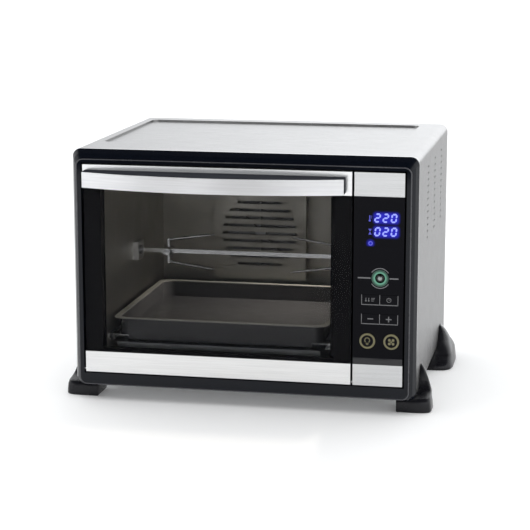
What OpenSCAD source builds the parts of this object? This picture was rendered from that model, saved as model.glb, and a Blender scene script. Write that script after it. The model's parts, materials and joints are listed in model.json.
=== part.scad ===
// Counter-top rotisserie oven with a drop-down glass door and a control column.
// X runs across the front, -Y is the front, Z is up. The origin is the middle
// of the footprint, on the surface that the feet stand on. Millimetres.

/* [Body] */
// Width of the outer cover
body_w = 500; // [460:5:540]
// Depth of the outer cover, front seam to rear edge
body_d = 391; // [380:1:430]
// Height of the outer cover
body_h = 349; // [345:1:360]
// Clear height under the cover
foot_h = 20; // [16:1:30]
// Radius of the cover's long edges
cover_r = 12; // [9:1:16]
// Thickness of the steel sheets
sheet = 1; // [0.8:0.1:1.2]
// Depth of the front bezel
bezel_d = 20; // [19:0.5:22]
// Depth of the pressed recess in the top
recess_d = 3; // [1.5:0.5:4]

/* [Door] */
// Width of the door
door_w = 390; // [380:1:391]
// Height of the door
door_h = 305; // [300:1:306]
// Gap between the door and the control column
door_gap = 3; // [2:0.5:3.5]
// Height of the steel strips
strip_h = 33.8; // [28:0.2:36]
// Thickness of the outer glass
glass_t = 4; // [3:0.5:5]
// Width of the glass's black border
glass_border = 25; // [20:1:30]

/* [Handle] */
// Furthest reach of the handle from the door's face
handle_reach = 48; // [44:1:52]
// Bow of the handle, ends to middle
handle_bow = 28; // [20:1:28]
// Length of the handle
handle_l = 376; // [340:2:376]
// Height of the handle's band
handle_h = 22; // [18:1:24]

/* [Cavity] */
// Inside width
cav_w = 332; // [320:2:332]
// Inside height
cav_h = 266; // [250:2:266]
// Inside depth
cav_d = 336; // [320:2:336]

/* [Controls] */
// Width of the control column
column_w = 71; // [70:0.5:71]
// Travel of every button
key_travel = 1.2; // [0.8:0.1:1.5]
// Radius of the start button
start_r = 6.9; // [6:0.1:8]
// Radius of the two round keys
round_key_r = 11.2; // [9:0.1:11.5]
// Height of the display's digits
digit_h = 13.6; // [10:0.2:14]

/* [Hidden] */
$fn = 48;
eps = 0.02;
fit = 0.25;

// Everything below is placed from the seam between bezel and cover (local y = 0).
spacer_l = 18;
seam_y = (handle_reach + bezel_d - body_d - spacer_l) / 2;
top_z = foot_h + body_h;
half_w = body_w / 2;
front_y = -bezel_d;

// Door and column: both stand between the bezel's rails.
bezel_side = (body_w - door_w - door_gap - column_w) / 2;
door_x0 = -half_w + bezel_side;
door_x1 = door_x0 + door_w;
column_x0 = door_x1 + door_gap;
column_x1 = column_x0 + column_w;
door_z0 = foot_h + 23;
door_z1 = door_z0 + door_h;
lower_strip_h = strip_h - 3;
glass_z0 = door_z0 + lower_strip_h + 0.2;
glass_z1 = door_z1 - strip_h - 0.2;
trim_t = 1.1;
shell_y = front_y + trim_t + 0.1;
opening_gap = 2.5;

// The door turns on two short pins in its lower front corners.
pivot_y = front_y + 4;
pivot_z = door_z0 + 4;
pin_r = 2;
pin_clearance = 0.1;

// Two curved stays, concentric with the pins, hold the open door.
stay_r = 50;
stay_half_h = 3;
stay_t = 2;
stay_x = [door_x0 + 5, door_x1 - 6];

// Cavity, a little left of the middle to leave room for the controls.
cav_x0 = door_x0 + 25;
cav_x1 = cav_x0 + cav_w;
cav_z0 = foot_h + 42;
cav_z1 = cav_z0 + cav_h;
frame_y = 3;
cav_y0 = frame_y + sheet;
cav_y1 = cav_y0 + cav_d;
cav_mid = (cav_x0 + cav_x1) / 2;

// Heaters, fan, lamp and spit.
heater_r = 3.5;
heater_ys = [90, 250];
upper_heater_z = cav_z1 - 16;
lower_heater_z = cav_z0 + 14;
fan_z = cav_z0 + 133;
fan_r = 55;
guard_size = 150;
guard_d = 24;
lamp_y = 285;
lamp_z = cav_z1 - 43;
lamp_r = 21;
spit_y = 172;
spit_z = 190;
spit_side = 6;
journal_r = 4;
socket_r = 8;
fork_x = [-154, 107];

// Rack, tray and crumb tray.
rail_z = cav_z0 + 22;
wire_r = 2.5;
thin_wire_r = 1.5;
rack_z = rail_z + 1.7 + wire_r;
rack_y = [24, 310];
rack_inset = 3;
tray_z0 = rack_z + wire_r + 0.3;
tray_z1 = tray_z0 + 26;
tray_y = [13, 300];
tray_inset = 6;

// Handle arc seen from above.
handle_mid = (door_x0 + door_x1) / 2 - 2;
handle_front = front_y - handle_reach;
arc_r = (pow(handle_l / 2, 2) + pow(handle_bow, 2)) / (2 * handle_bow);
band_t = 2.4;
back_t = 9;
lid_t = 2.5;
handle_z = door_z1 - 19.5;
post_w = 14;

// Control column layout.
column_mid = (column_x0 + column_x1) / 2 + 2.2;
start_z = 198.7;
ring_r = 12;
display_size = [50, 52];
display_mid = [column_mid + 4.2, 270];
digit_w = 8.4;
digit_pitch = 13;
segment_w = 2.1;
digit_slant = 0.14;
row_z = [284.4, 265];
key_size = [23.8, 13.4];
key_dx = 13;
key_rows = [168, 140.4];
round_key_dx = 17;
round_key_z = 108;
fascia_t = 3;
board_y = -11;

// ---------------------------------------------------------------- helpers

module at_seam() translate([0, seam_y, 0]) children();

// Box given by its low and high corners.
module box(lo, hi) translate(lo) cube(hi - lo);

module rounded_rect(w, h, r) {
    square([w - 2 * r, h], center = true);
    square([w, h - 2 * r], center = true);
    for (sx = [-1, 1], sy = [-1, 1])
        translate([sx * (w / 2 - r), sy * (h / 2 - r)]) circle(r);
}

module slot_2d(l, w) {
    square([l - w, w], center = true);
    for (s = [-1, 1]) translate([s * (l - w) / 2, 0]) circle(w / 2);
}

// Flat plate standing in the XZ plane: outline children, front face at y.
module upright(y, t) translate([0, y + t, 0]) rotate([90, 0, 0]) linear_extrude(t) children();

// Flat plate standing in the YZ plane: outline children drawn as (y, z).
module sideways(x, t) translate([x, 0, 0]) rotate([90, 0, 90]) linear_extrude(t) children();

module rod_x(x0, x1, y, z, r) translate([x0, y, z]) rotate([0, 90, 0]) cylinder(h = x1 - x0, r = r);
module rod_y(y0, y1, x, z, r) translate([x, y1, z]) rotate([90, 0, 0]) cylinder(h = y1 - y0, r = r);

module cover_outline(grow) {
    translate([0, foot_h + body_h / 2])
        rounded_rect(body_w + 2 * grow, body_h + 2 * grow, cover_r + grow);
}

module rect_ring(x, z, wall) {
    difference() {
        translate([x[0], z[0]]) square([x[1] - x[0], z[1] - z[0]]);
        translate([x[0] + wall, z[0] + wall]) square([x[1] - x[0] - 2 * wall, z[1] - z[0] - 2 * wall]);
    }
}

// ---------------------------------------------------------------- casing

vent_rows = 12;
vent_ys = [112, 205, 298];
recess_x = [-228, 208];
recess_y = [75, 365];

module side_vents() {
    for (y = vent_ys, i = [0 : vent_rows - 1])
        translate([y, top_z - 29 - 9.5 * i]) slot_2d(15, 1.8);
}

module recess_plate(grow, z, t) {
    translate([(recess_x[0] + recess_x[1]) / 2, (recess_y[0] + recess_y[1]) / 2, z])
        linear_extrude(t)
            rounded_rect(recess_x[1] - recess_x[0] + 2 * grow, recess_y[1] - recess_y[0] + 2 * grow, 10 + grow);
}

module outer_cover() {
    flange = 15;
    color("silver") at_seam() difference() {
        union() {
            upright(0, body_d) difference() {
                cover_outline(0);
                cover_outline(-sheet);
                translate([-half_w + flange, foot_h - 1]) square([body_w - 2 * flange, sheet + 2]);
            }
            recess_plate(sheet, top_z - recess_d - sheet, recess_d + sheet - eps);
        }
        recess_plate(0, top_z - recess_d, recess_d + 1);
        for (s = [-1, 1]) sideways(s * half_w - 2, 4) side_vents();
    }
}

module back_panel() {
    y = body_d - 3;
    color("dimgray") at_seam() difference() {
        upright(y, sheet) cover_outline(-sheet - 0.2);
        upright(y - 1, sheet + 2) {
            for (x = [-140, 60], i = [0 : 9]) translate([x, 130 + 14 * i]) slot_2d(90, 4);
            translate([200, 62]) circle(8);
        }
    }
}

module base_plate() {
    color("dimgray") at_seam() difference() {
        box([-half_w + 13, 8, foot_h + sheet], [half_w - 13, body_d - 4, foot_h + 2 * sheet]);
        for (x = [-150 : 60 : 150], y = [120, 200, 280])
            translate([x, y, foot_h]) linear_extrude(4) slot_2d(40, 5);
    }
}

module bezel_slab(y, side, top, bottom) {
    w = body_w - 2 * side;
    h = body_h - top - bottom;
    upright(y, 0.5) translate([0, foot_h + bottom + h / 2]) rounded_rect(w, h, cover_r - side / 4, $fn = 32);
}

module front_bezel() {
    color([0.05, 0.05, 0.06]) at_seam() difference() {
        hull() {
            bezel_slab(-0.5, 0, 0, 0);
            bezel_slab(-6, 0, 0, 0);
            bezel_slab(-14, 4, 6, 2);
            bezel_slab(front_y, 9, 13.5, 4.5);
        }
        box([door_x0 - opening_gap, front_y - 1, door_z0 - 2],
            [column_x1 + opening_gap, 1, door_z1 + opening_gap]);
        rod_x(door_x0 - 9, door_x0 - 1, pivot_y, pivot_z, pin_r);
    }
}

module front_frame() {
    color("gray") at_seam() difference() {
        upright(frame_y, sheet) difference() {
            cover_outline(-sheet - 0.2);
            translate([cav_x0, cav_z0]) square([cav_w, cav_h]);
            translate([column_x0 + 5, 84]) square([column_w - 12, 222]);
        }
        for (x = stay_x) box([x - 2, 0, pivot_z + 36], [x + 2, 6, pivot_z + 56]);
    }
}

// ---------------------------------------------------------------- cavity

module side_wall_holes(t) {
    for (y = heater_ys, z = [upper_heater_z, lower_heater_z]) translate([y, z]) circle(6);
}

module cavity_left_wall() {
    color([0.45, 0.44, 0.42]) at_seam() sideways(cav_x0 - sheet, sheet) difference() {
        translate([cav_y0, cav_z0 - sheet]) square([cav_d + sheet, cav_h + 2 * sheet]);
        side_wall_holes();
        translate([spit_y, spit_z]) circle(6);
    }
}

module cavity_right_wall() {
    color([0.45, 0.44, 0.42]) at_seam() sideways(cav_x1, sheet) difference() {
        translate([cav_y0, cav_z0 - sheet]) square([cav_d + sheet, cav_h + 2 * sheet]);
        side_wall_holes();
        translate([spit_y, spit_z]) circle(socket_r + 1);
        translate([lamp_y, lamp_z]) circle(lamp_r - 4);
    }
}

module cavity_roof()
    color([0.45, 0.44, 0.42]) at_seam()
        box([cav_x0, cav_y0, cav_z1], [cav_x1, cav_y1 + sheet, cav_z1 + sheet]);

module cavity_floor()
    color([0.45, 0.44, 0.42]) at_seam()
        box([cav_x0, cav_y0, cav_z0 - sheet], [cav_x1, cav_y1 + sheet, cav_z0]);

module cavity_rear_wall() {
    color([0.45, 0.44, 0.42]) at_seam() upright(cav_y1, sheet) difference() {
        translate([cav_x0, cav_z0]) square([cav_w, cav_h]);
        translate([cav_mid, fan_z]) circle(5);
        translate([cav_x1 - 60, cav_z1 - 34]) circle(2.5);
    }
}

module shelf_rails() {
    color("silver") at_seam() for (s = [0, 1]) translate([s == 0 ? cav_x0 : cav_x1, 0, 0])
        mirror([s, 0, 0]) {
            box([0.05, 14, rail_z], [9, 318, rail_z + 1.5]);
            box([0.05, 14, rail_z + 1.5 - eps], [1.2, 318, rail_z + 9]);
        }
}

module heater_pair(z)
    for (y = heater_ys) rod_x(cav_x0 - 14, cav_x1 + 14, y, z, heater_r);

module upper_heaters() color([0.3, 0.28, 0.27]) at_seam() heater_pair(upper_heater_z);
module lower_heaters() color([0.3, 0.28, 0.27]) at_seam() heater_pair(lower_heater_z);

module heater_bushes() {
    color("ivory") at_seam()
        for (s = [-1, 1], y = heater_ys, z = [upper_heater_z, lower_heater_z])
            translate([s < 0 ? cav_x0 : cav_x1, y, z]) rotate([0, s * 90, 0]) difference() {
                union() {
                    translate([0, 0, -4]) cylinder(h = 4, r = 7.5);
                    translate([0, 0, -eps]) cylinder(h = 10, r = 5.9);
                }
                translate([0, 0, -5]) cylinder(h = 16, r = heater_r);
            }
}

module crumb_tray() {
    x = [cav_x0 + 5, cav_x1 - 5];
    y = [cav_y0 + 3, cav_y1 - 12];
    color("darkgray") at_seam() {
        difference() {
            box([x[0], y[0], cav_z0], [x[1], y[1], cav_z0 + 4]);
            box([x[0] + 1, y[0] + 1, cav_z0 + 1], [x[1] - 1, y[1] - 1, cav_z0 + 5]);
        }
        box([x[0] + 10, y[0], cav_z0 + 3], [x[1] - 10, y[0] + 1, cav_z0 + 21]);
    }
}

module fan_guard() {
    half = guard_size / 2;
    y = cav_y1 - guard_d;
    color([0.4, 0.39, 0.37]) at_seam() translate([cav_mid, 0, fan_z]) difference() {
        box([-half, y, -half], [half, cav_y1, half]);
        box([-half + 1, y + 1, -half + 1], [half - 1, cav_y1 + 1, half - 1]);
        upright(y - 1, 3) {
            for (i = [-4 : 4]) translate([0, 12.5 * i]) slot_2d(2 * sqrt(62 * 62 - pow(12.5 * i, 2)), 5);
        }
    }
}

module fan_motor() {
    color("slategray") at_seam() translate([cav_mid, 0, fan_z]) {
        difference() {
            union() {
                rod_y(cav_y1 + 6, cav_y1 + 38, 0, 0, 28);
                box([-36, cav_y1 + 12, -6], [36, cav_y1 + 32, 6]);
            }
            rod_y(cav_y1 + 5, cav_y1 + 25, 0, 0, 3.1);
        }
        for (x = [-1, 1]) rod_y(cav_y1 + sheet, cav_y1 + 6 + eps, x * 20, 0, 4);
    }
}

module fan_blade() {
    blades = 8;
    color("silver") at_seam() translate([cav_mid, 0, fan_z]) {
        rod_y(cav_y1 - 19, cav_y1 + 20, 0, 0, 3);
        rod_y(cav_y1 - 19, cav_y1 - 7, 0, 0, 9);
        rod_y(cav_y1 - 6.5, cav_y1 - 5.5, 0, 0, fan_r);
        rod_y(cav_y1 - 7.2, cav_y1 - 5.4, 0, 0, 12);
        for (a = [0 : 360 / blades : 359]) rotate([0, a, 0])
            box([10, cav_y1 - 18, -0.6], [fan_r - 1, cav_y1 - 5.6, 0.6]);
    }
}

module lamp_lens() {
    color([0.9, 0.95, 1, 0.5]) at_seam() translate([cav_x1, lamp_y, lamp_z]) rotate([0, -90, 0]) {
        difference() {
            union() {
                cylinder(h = 2.5, r = lamp_r);
                intersection() {
                    translate([0, 0, -14]) sphere(22);
                    cylinder(h = 20, r = lamp_r);
                }
            }
            translate([0, 0, -14]) sphere(20);
        }
    }
}

module lamp_bulb() {
    color([1, 0.95, 0.8]) at_seam() translate([cav_x1 + sheet, lamp_y, lamp_z]) rotate([0, 90, 0]) {
        translate([0, 0, 12]) sphere(11);
        translate([0, 0, 12]) cylinder(h = 18, r = 9);
        translate([0, 0, 26]) cylinder(h = 16, r = 15);
        for (s = [-1, 1]) translate([s * 19 - 2, -6, 0]) cube([4, 12, 30]);
        translate([-21, -6, 28]) cube([42, 12, 3]);
    }
}

module temperature_probe()
    color("silver") at_seam() {
        rod_y(cav_y1 - 34, cav_y1 + 10, cav_x1 - 60, cav_z1 - 34, 2.4);
        rod_y(cav_y1 - 3, cav_y1 - eps, cav_x1 - 60, cav_z1 - 34, 5);
    }

// ---------------------------------------------------------------- rotisserie

spit_x0 = cav_x0 + 1.2;
bearing_t = 8;
motor_x = cav_x1 + 26;

module spit_motor() {
    color("darkgray") at_seam() translate([motor_x, spit_y, spit_z]) {
        difference() {
            rotate([0, 90, 0]) cylinder(h = 22, r = 25);
            translate([-1, 0, 0]) rotate([0, 90, 0]) cylinder(h = 16, r = 3.1);
        }
        for (s = [-1, 1]) {
            translate([-25, s * 31 - 4, -4]) cube([26.5, 8, 8]);
            translate([0, s * 28 - 9, -6]) cube([1.5, 18, 12]);
        }
    }
}

module spit_bearing() {
    color("silver") at_seam() difference() {
        box([cav_x0, spit_y - 16, spit_z - 14], [cav_x0 + bearing_t, spit_y + 16, spit_z + 14]);
        rod_x(cav_x0 - 1, cav_x0 + bearing_t + 1, spit_y, spit_z, journal_r + 0.08);
    }
}

module spit_socket() {
    depth = 14;
    length = 31;
    half = spit_side / 2 + 0.1;
    color("silver") at_seam() translate([cav_x1 - 9, spit_y, spit_z]) {
        difference() {
            rotate([0, 90, 0]) cylinder(h = length, r = socket_r);
            box([-1, -half, -half], [depth, half, half]);
        }
        rod_x(length - eps, length + 14, 0, 0, 3);
    }
}

module spit_rod() {
    half = spit_side / 2;
    color("gainsboro") at_seam() translate([0, spit_y, spit_z]) {
        box([cav_x0 + bearing_t + 1, -half, -half], [cav_x1 + 3, half, half]);
        rotate([0, 90, 0]) translate([0, 0, spit_x0]) cylinder(h = bearing_t + 3, r = journal_r);
        rotate([0, 90, 0]) translate([0, 0, cav_x0 + bearing_t + 0.8]) cylinder(h = 2, r = 7);
    }
}

// Two-tined fork: collar, cross strip and two tines that lean outwards.
module spit_fork(x, way) {
    half = spit_side / 2;
    tine_l = 62;
    color("gainsboro") at_seam() translate([x, spit_y, spit_z]) difference() {
        union() {
            rotate([0, 90, 0]) cylinder(h = 14, r = 8, center = true);
            box([-1.5, -5, -19], [1.5, 5, 19]);
            for (s = [-1, 1]) translate([0, 0, s * 17.2]) rotate([0, way * (90 - s * 8), 0]) {
                cylinder(h = tine_l, r = 2);
                translate([0, 0, tine_l - eps]) cylinder(h = 10, r1 = 2, r2 = 0.4);
            }
        }
        translate([-8, -half - 0.05, -half - 0.05]) cube([16, spit_side + 0.1, spit_side + 0.1]);
        rotate([90, 0, 0]) cylinder(h = 20, r = 2);
    }
}

module spit_fork_left() spit_fork(fork_x[0], 1);
module spit_fork_right() spit_fork(fork_x[1], -1);

module fork_screws() {
    color("silver") at_seam() for (x = fork_x) translate([x, spit_y, spit_z]) rotate([90, 0, 0]) {
        translate([0, 0, spit_side / 2 + 0.06]) cylinder(h = 12, r = 1.95);
        translate([0, 0, 12]) cylinder(h = 3, r = 5);
        translate([-5, -1.2, 14.9]) cube([10, 2.4, 9]);
    }
}

// ---------------------------------------------------------------- rack and tray

module wire_rack() {
    x = [cav_x0 + rack_inset + wire_r, cav_x1 - rack_inset - wire_r];
    y = [rack_y[0] + 2 * wire_r, rack_y[1] - 2 * wire_r];
    bars = 13;
    color("silver") at_seam() {
        for (i = x) rod_y(rack_y[0], rack_y[1], i, rack_z, wire_r);
        for (j = [y[0], (y[0] + y[1]) / 2, y[1]]) rod_x(x[0], x[1], j, rack_z, wire_r - 0.3);
        for (i = [1 : bars]) rod_y(y[0], y[1], x[0] + i * (x[1] - x[0]) / (bars + 1), rack_z + 0.4, thin_wire_r);
    }
}

module tray_block(inset, z0, z1) {
    x = [cav_x0 + tray_inset + inset, cav_x1 - tray_inset - inset];
    y = [tray_y[0] + inset, tray_y[1] - inset];
    translate([(x[0] + x[1]) / 2, (y[0] + y[1]) / 2, z0])
        linear_extrude(z1 - z0) rounded_rect(x[1] - x[0], y[1] - y[0], 16);
}

// Rolled-steel tray with a flat rim; a front apron hooks down over the rack's end wire.
module baking_tray() {
    apron_y = tray_y[0] + 7;
    apron_inset = tray_inset + 7 + 16;
    color([0.2, 0.2, 0.2]) at_seam() {
        difference() {
            union() {
                tray_block(7, tray_z0, tray_z1);
                tray_block(0, tray_z1 - 1, tray_z1);
            }
            tray_block(8, tray_z0 + 1, tray_z1 + 1);
        }
        box([cav_x0 + apron_inset, apron_y, rack_z - 3.7], [cav_x1 - apron_inset, apron_y + 1, tray_z0 + 1]);
    }
}

// ---------------------------------------------------------------- door

window_x = [cav_x0, cav_x1 + 8];
inner_glass_x = [cav_x0 - 4, cav_x1 + 10];
inner_glass_z = [glass_z0 - 1, glass_z1 + 4];
seal_x = [cav_x0 - 15, cav_x1 + 21];
seal_z = [cav_z0 - 6, cav_z1 + 8];
seal_w = 6;

module door_frame() {
    color([0.08, 0.08, 0.09]) at_seam() difference() {
        box([door_x0, shell_y, door_z0 + 1.1], [door_x1, 0, door_z1 - 1.1]);
        box([door_x0 - 1, shell_y - 1, glass_z0 - 0.2], [door_x1 + 1, front_y + glass_t + 0.1, glass_z1 + 0.2]);
        box([window_x[0], front_y, glass_z0 + 4], [window_x[1], 1, glass_z1 - 2]);
        box([inner_glass_x[0] - 0.2, -4.1, inner_glass_z[0] - 0.2],
            [inner_glass_x[1] + 0.2, 1, inner_glass_z[1] + 0.2]);
        upright(-2, 3) rect_ring(seal_x, seal_z, seal_w);
        for (x = [door_x0 - 1, door_x1 - 10])
            rod_x(x, x + 11, pivot_y, pivot_z, pin_r + pin_clearance);
        for (x = stay_x) box([x - 5, -1.5, stay_foot_z[0]], [x + 5, 1, stay_foot_z[1]]);
    }
}

module door_glass_outer()
    color([0.1, 0.1, 0.12, 0.5]) at_seam()
        box([door_x0, front_y, glass_z0], [door_x1, front_y + glass_t, glass_z1]);

module door_glass_inner()
    color([0.6, 0.65, 0.65, 0.4]) at_seam()
        box([inner_glass_x[0], -4, inner_glass_z[0]], [inner_glass_x[1], -1, inner_glass_z[1]]);

module strip(x, z0, z1, lip_z0, lip_z1) {
    box([x[0], front_y, z0], [x[1], front_y + trim_t, z1]);
    box([x[0], front_y, lip_z0], [x[1], -2, lip_z1]);
}

module door_trim_top()
    color("gainsboro") at_seam()
        strip([door_x0, door_x1], door_z1 - strip_h, door_z1, door_z1 - 1, door_z1);

module door_trim_bottom()
    color("gainsboro") at_seam()
        strip([door_x0, door_x1], door_z0, door_z0 + lower_strip_h, door_z0, door_z0 + 1);

module door_seal()
    color([0.15, 0.15, 0.16]) at_seam() upright(-1.9, 4.5)
        rect_ring([seal_x[0] + 0.1, seal_x[1] - 0.1], [seal_z[0] + 0.1, seal_z[1] - 0.1], seal_w - 0.2);

stay_foot_z = [pivot_z + 40, pivot_z + 58];
stay_tail = [-26, -20];

module stay_arc(x, r0, r1, a0, a1) {
    far = 90;
    sideways(x - stay_t / 2, stay_t) translate([pivot_y, pivot_z]) intersection() {
        difference() {
            circle(r1, $fn = 96);
            circle(r0, $fn = 96);
        }
        polygon([[0, 0], [far * cos(a0), far * sin(a0)], [far, (a0 + a1 > 0 ? 0 : far * sin(a1))],
                 [far * cos(a1), far * sin(a1)]]);
    }
}

module door_stays() {
    color("silver") at_seam() for (x = stay_x) {
        difference() {
            stay_arc(x, stay_r - stay_half_h, stay_r + stay_half_h, stay_tail[0], 74);
            box([x - 5, -40, 0], [x + 5, -1.4, 200]);
        }
        stay_arc(x, stay_r - 6, stay_r + 6, stay_tail[0], stay_tail[1]);
        box([x - 4.5, -1.4, stay_foot_z[0] + 0.5], [x + 4.5, -0.1, stay_foot_z[1] - 0.5]);
    }
}

module handle_layer(r_out, r_in, z0, z1) {
    cy = handle_front + arc_r;
    intersection() {
        translate([handle_mid, cy, z0]) difference() {
            cylinder(h = z1 - z0, r = r_out, $fn = 360);
            translate([0, 0, -1]) cylinder(h = z1 - z0 + 2, r = r_in, $fn = 360);
        }
        box([handle_mid - handle_l / 2, handle_front - 1, z0], [handle_mid + handle_l / 2, front_y, z1]);
    }
}

module handle_band()
    color("gainsboro") at_seam()
        handle_layer(arc_r, arc_r - band_t, handle_z - handle_h / 2, handle_z + handle_h / 2);

// Black channel behind the band, a little higher than it: closed on top and at both ends,
// open below for the fingers.
module handle_back() {
    z = [handle_z - handle_h / 2 + 1, handle_z + handle_h / 2 + 1];
    x = [handle_mid - handle_l / 2, handle_mid + handle_l / 2];
    rear_y = front_y - 0.3;
    color([0.06, 0.06, 0.07]) at_seam() {
        handle_layer(arc_r - band_t, arc_r - band_t - back_t, z[0], z[1]);
        intersection() {
            translate([handle_mid, handle_front + arc_r, z[0]])
                cylinder(h = z[1] - z[0], r = arc_r - band_t - back_t + eps, $fn = 360);
            union() {
                box([x[0], handle_front, z[1] - lid_t], [x[1], rear_y, z[1]]);
                for (i = [0, 1]) box([x[i] - i * lid_t, handle_front, z[0]],
                    [x[i] + (1 - i) * lid_t, rear_y, z[1]]);
            }
        }
    }
}

module handle_posts() {
    color([0.1, 0.1, 0.11]) at_seam() difference() {
        for (s = [-1, 1]) box([handle_mid + s * (handle_l / 2 - 12) - post_w / 2, front_y - 12, handle_z - 8],
            [handle_mid + s * (handle_l / 2 - 12) + post_w / 2, front_y, handle_z + handle_h / 2 + 0.9 - lid_t]);
        translate([handle_mid, handle_front + arc_r, 0])
            difference() {
                cylinder(h = 400, r = arc_r, $fn = 360);
                translate([0, 0, -1]) cylinder(h = 402, r = arc_r - band_t - back_t, $fn = 360);
            }
    }
}

module hinge_pins()
    color("silver") at_seam() {
        rod_x(door_x0 - 8, door_x0 + 9, pivot_y, pivot_z, pin_r);
        rod_x(door_x1 - 9, door_x1 + 8, pivot_y, pivot_z, pin_r);
    }

// ---------------------------------------------------------------- control column

module for_rect_keys()
    for (ix = [-1, 1], iz = [0, 1]) translate([column_mid + ix * key_dx, key_rows[iz]]) children();

module round_keys_2d(r)
    for (s = [-1, 1]) translate([column_mid + s * round_key_dx, round_key_z]) circle(r);

module column_fascia() {
    color([0.03, 0.03, 0.035]) at_seam() difference() {
        union() {
            box([column_x0, shell_y, door_z0 + 1.1], [column_x1, shell_y + fascia_t, door_z1 - 1.1]);
            box([column_x0, front_y, glass_z0], [column_x1, shell_y + eps, glass_z1]);
            upright(shell_y, -shell_y) rect_ring([column_x0, column_x1], [door_z0 + 1.1, door_z1 - 1.1], 2);
            box([column_x0 + 1, shell_y + 1, door_z0 + 1.1], [column_x0 + 9, -8, pivot_z + 5]);
        }
        upright(front_y - 1, 8) {
            translate(display_mid) square(display_size + [0.1, 0.1], center = true);
            translate([column_mid, start_z]) circle(ring_r);
            for_rect_keys() square(key_size + [2 * fit, 2 * fit], center = true);
            round_keys_2d(round_key_r + fit);
        }
        rod_x(column_x0 - 1, column_x0 + 5, pivot_y, pivot_z, pin_r);
    }
}

module column_trim_top()
    color("gainsboro") at_seam()
        strip([column_x0, column_x1], door_z1 - strip_h, door_z1, door_z1 - 1, door_z1);

module column_trim_bottom()
    color("gainsboro") at_seam()
        strip([column_x0, column_x1], door_z0, door_z0 + lower_strip_h, door_z0, door_z0 + 1);

module display_window()
    color([0.04, 0.04, 0.07]) at_seam() upright(front_y, 2.4)
        translate(display_mid) square(display_size, center = true);

// Seven-segment digit: bars top, upper left, upper right, middle, lower left, lower right, bottom.
segment_map = [[1, 1, 1, 0, 1, 1, 1], [0, 0, 1, 0, 0, 1, 0], [1, 0, 1, 1, 1, 0, 1]];

module bar(l) {
    w = segment_w / 2;
    polygon([[-l / 2, 0], [-l / 2 + w, w], [l / 2 - w, w], [l / 2, 0], [l / 2 - w, -w], [-l / 2 + w, -w]]);
}

module digit(value) {
    half = digit_h / 2 - segment_w / 2;
    side = digit_w / 2 - segment_w / 2;
    on = segment_map[value];
    gap = 0.3;
    for (i = [0, 3, 6]) if (on[i]) translate([digit_slant * (3 - i) / 3 * half, (3 - i) / 3 * half])
        bar(2 * side - gap);
    for (i = [1, 2, 4, 5]) if (on[i]) {
        s = (i == 1 || i == 4) ? -1 : 1;
        up = i < 3 ? 1 : -1;
        translate([s * side + digit_slant * up * half / 2, up * half / 2])
            rotate(90 - atan(digit_slant)) bar(half - gap);
    }
}

module display_digits() {
    readout = [[2, 2, 0], [0, 2, 0]];
    color([0.55, 0.6, 1]) at_seam() upright(front_y - 0.2, 0.2) {
        for (row = [0, 1], i = [0 : 2])
            translate([column_mid + 8 + (i - 1) * digit_pitch, row_z[row]]) digit(readout[row][i]);
        for (row = [0, 1]) translate([column_mid - 16.5, row_z[row]]) difference() {
            circle(1.9);
            circle(1);
        }
        translate([column_mid - 14.5, 248]) difference() {
            circle(3.2);
            circle(1.9);
        }
    }
}

module led_ring()
    color([0.3, 0.9, 0.6]) at_seam() upright(front_y - 0.3, 1.5)
        translate([column_mid, start_z]) difference() {
            circle(ring_r);
            circle(start_r + fit);
        }

module start_button()
    color("silver") at_seam() translate([column_mid, 0, start_z]) {
        rod_y(front_y - 1.4, front_y + 4.2, 0, 0, start_r);
        rod_y(front_y + 4, front_y + 5.2, 0, 0, 2);
    }

module rect_key(ix, row)
    color([0.05, 0.05, 0.06]) at_seam() translate([column_mid + ix * key_dx, 0, key_rows[row]]) {
        box([-key_size[0] / 2, front_y - 0.5, -key_size[1] / 2], [key_size[0] / 2, front_y + 4.2, key_size[1] / 2]);
        rod_y(front_y + 4, front_y + 5.2, 0, 0, 2);
    }

module temperature_key() rect_key(-1, 0);
module time_key() rect_key(1, 0);
module minus_key() rect_key(-1, 1);
module plus_key() rect_key(1, 1);

module round_key(s)
    color([0.45, 0.4, 0.2]) at_seam() translate([column_mid + s * round_key_dx, 0, round_key_z]) {
        rod_y(front_y - 0.8, front_y + 4.2, 0, 0, round_key_r);
        rod_y(front_y + 4, front_y + 5.2, 0, 0, 2);
    }

module light_key() round_key(-1);
module fan_key() round_key(1);

// Circuit board with a tact switch behind every button and the display module.
module control_board() {
    t = 1.6;
    switch_y = front_y + 5.2 + key_travel + 0.2;
    color("darkgreen") at_seam() {
        box([column_x0 + 4, board_y, 90], [column_x1 - 4, board_y + t, 304]);
        upright(front_y + 2.5, board_y - front_y - 2.5 + eps) translate(display_mid)
            square(display_size - [2, 2], center = true);
        upright(switch_y, board_y - switch_y + eps) {
            for_rect_keys() circle(3);
            translate([column_mid, start_z]) circle(3);
            round_keys_2d(3);
        }
        for (z = [100, 294]) rod_y(board_y + t - eps, 2.9, column_x0 + 8, z, 2);
    }
}

// ---------------------------------------------------------------- feet and rear fittings

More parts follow.
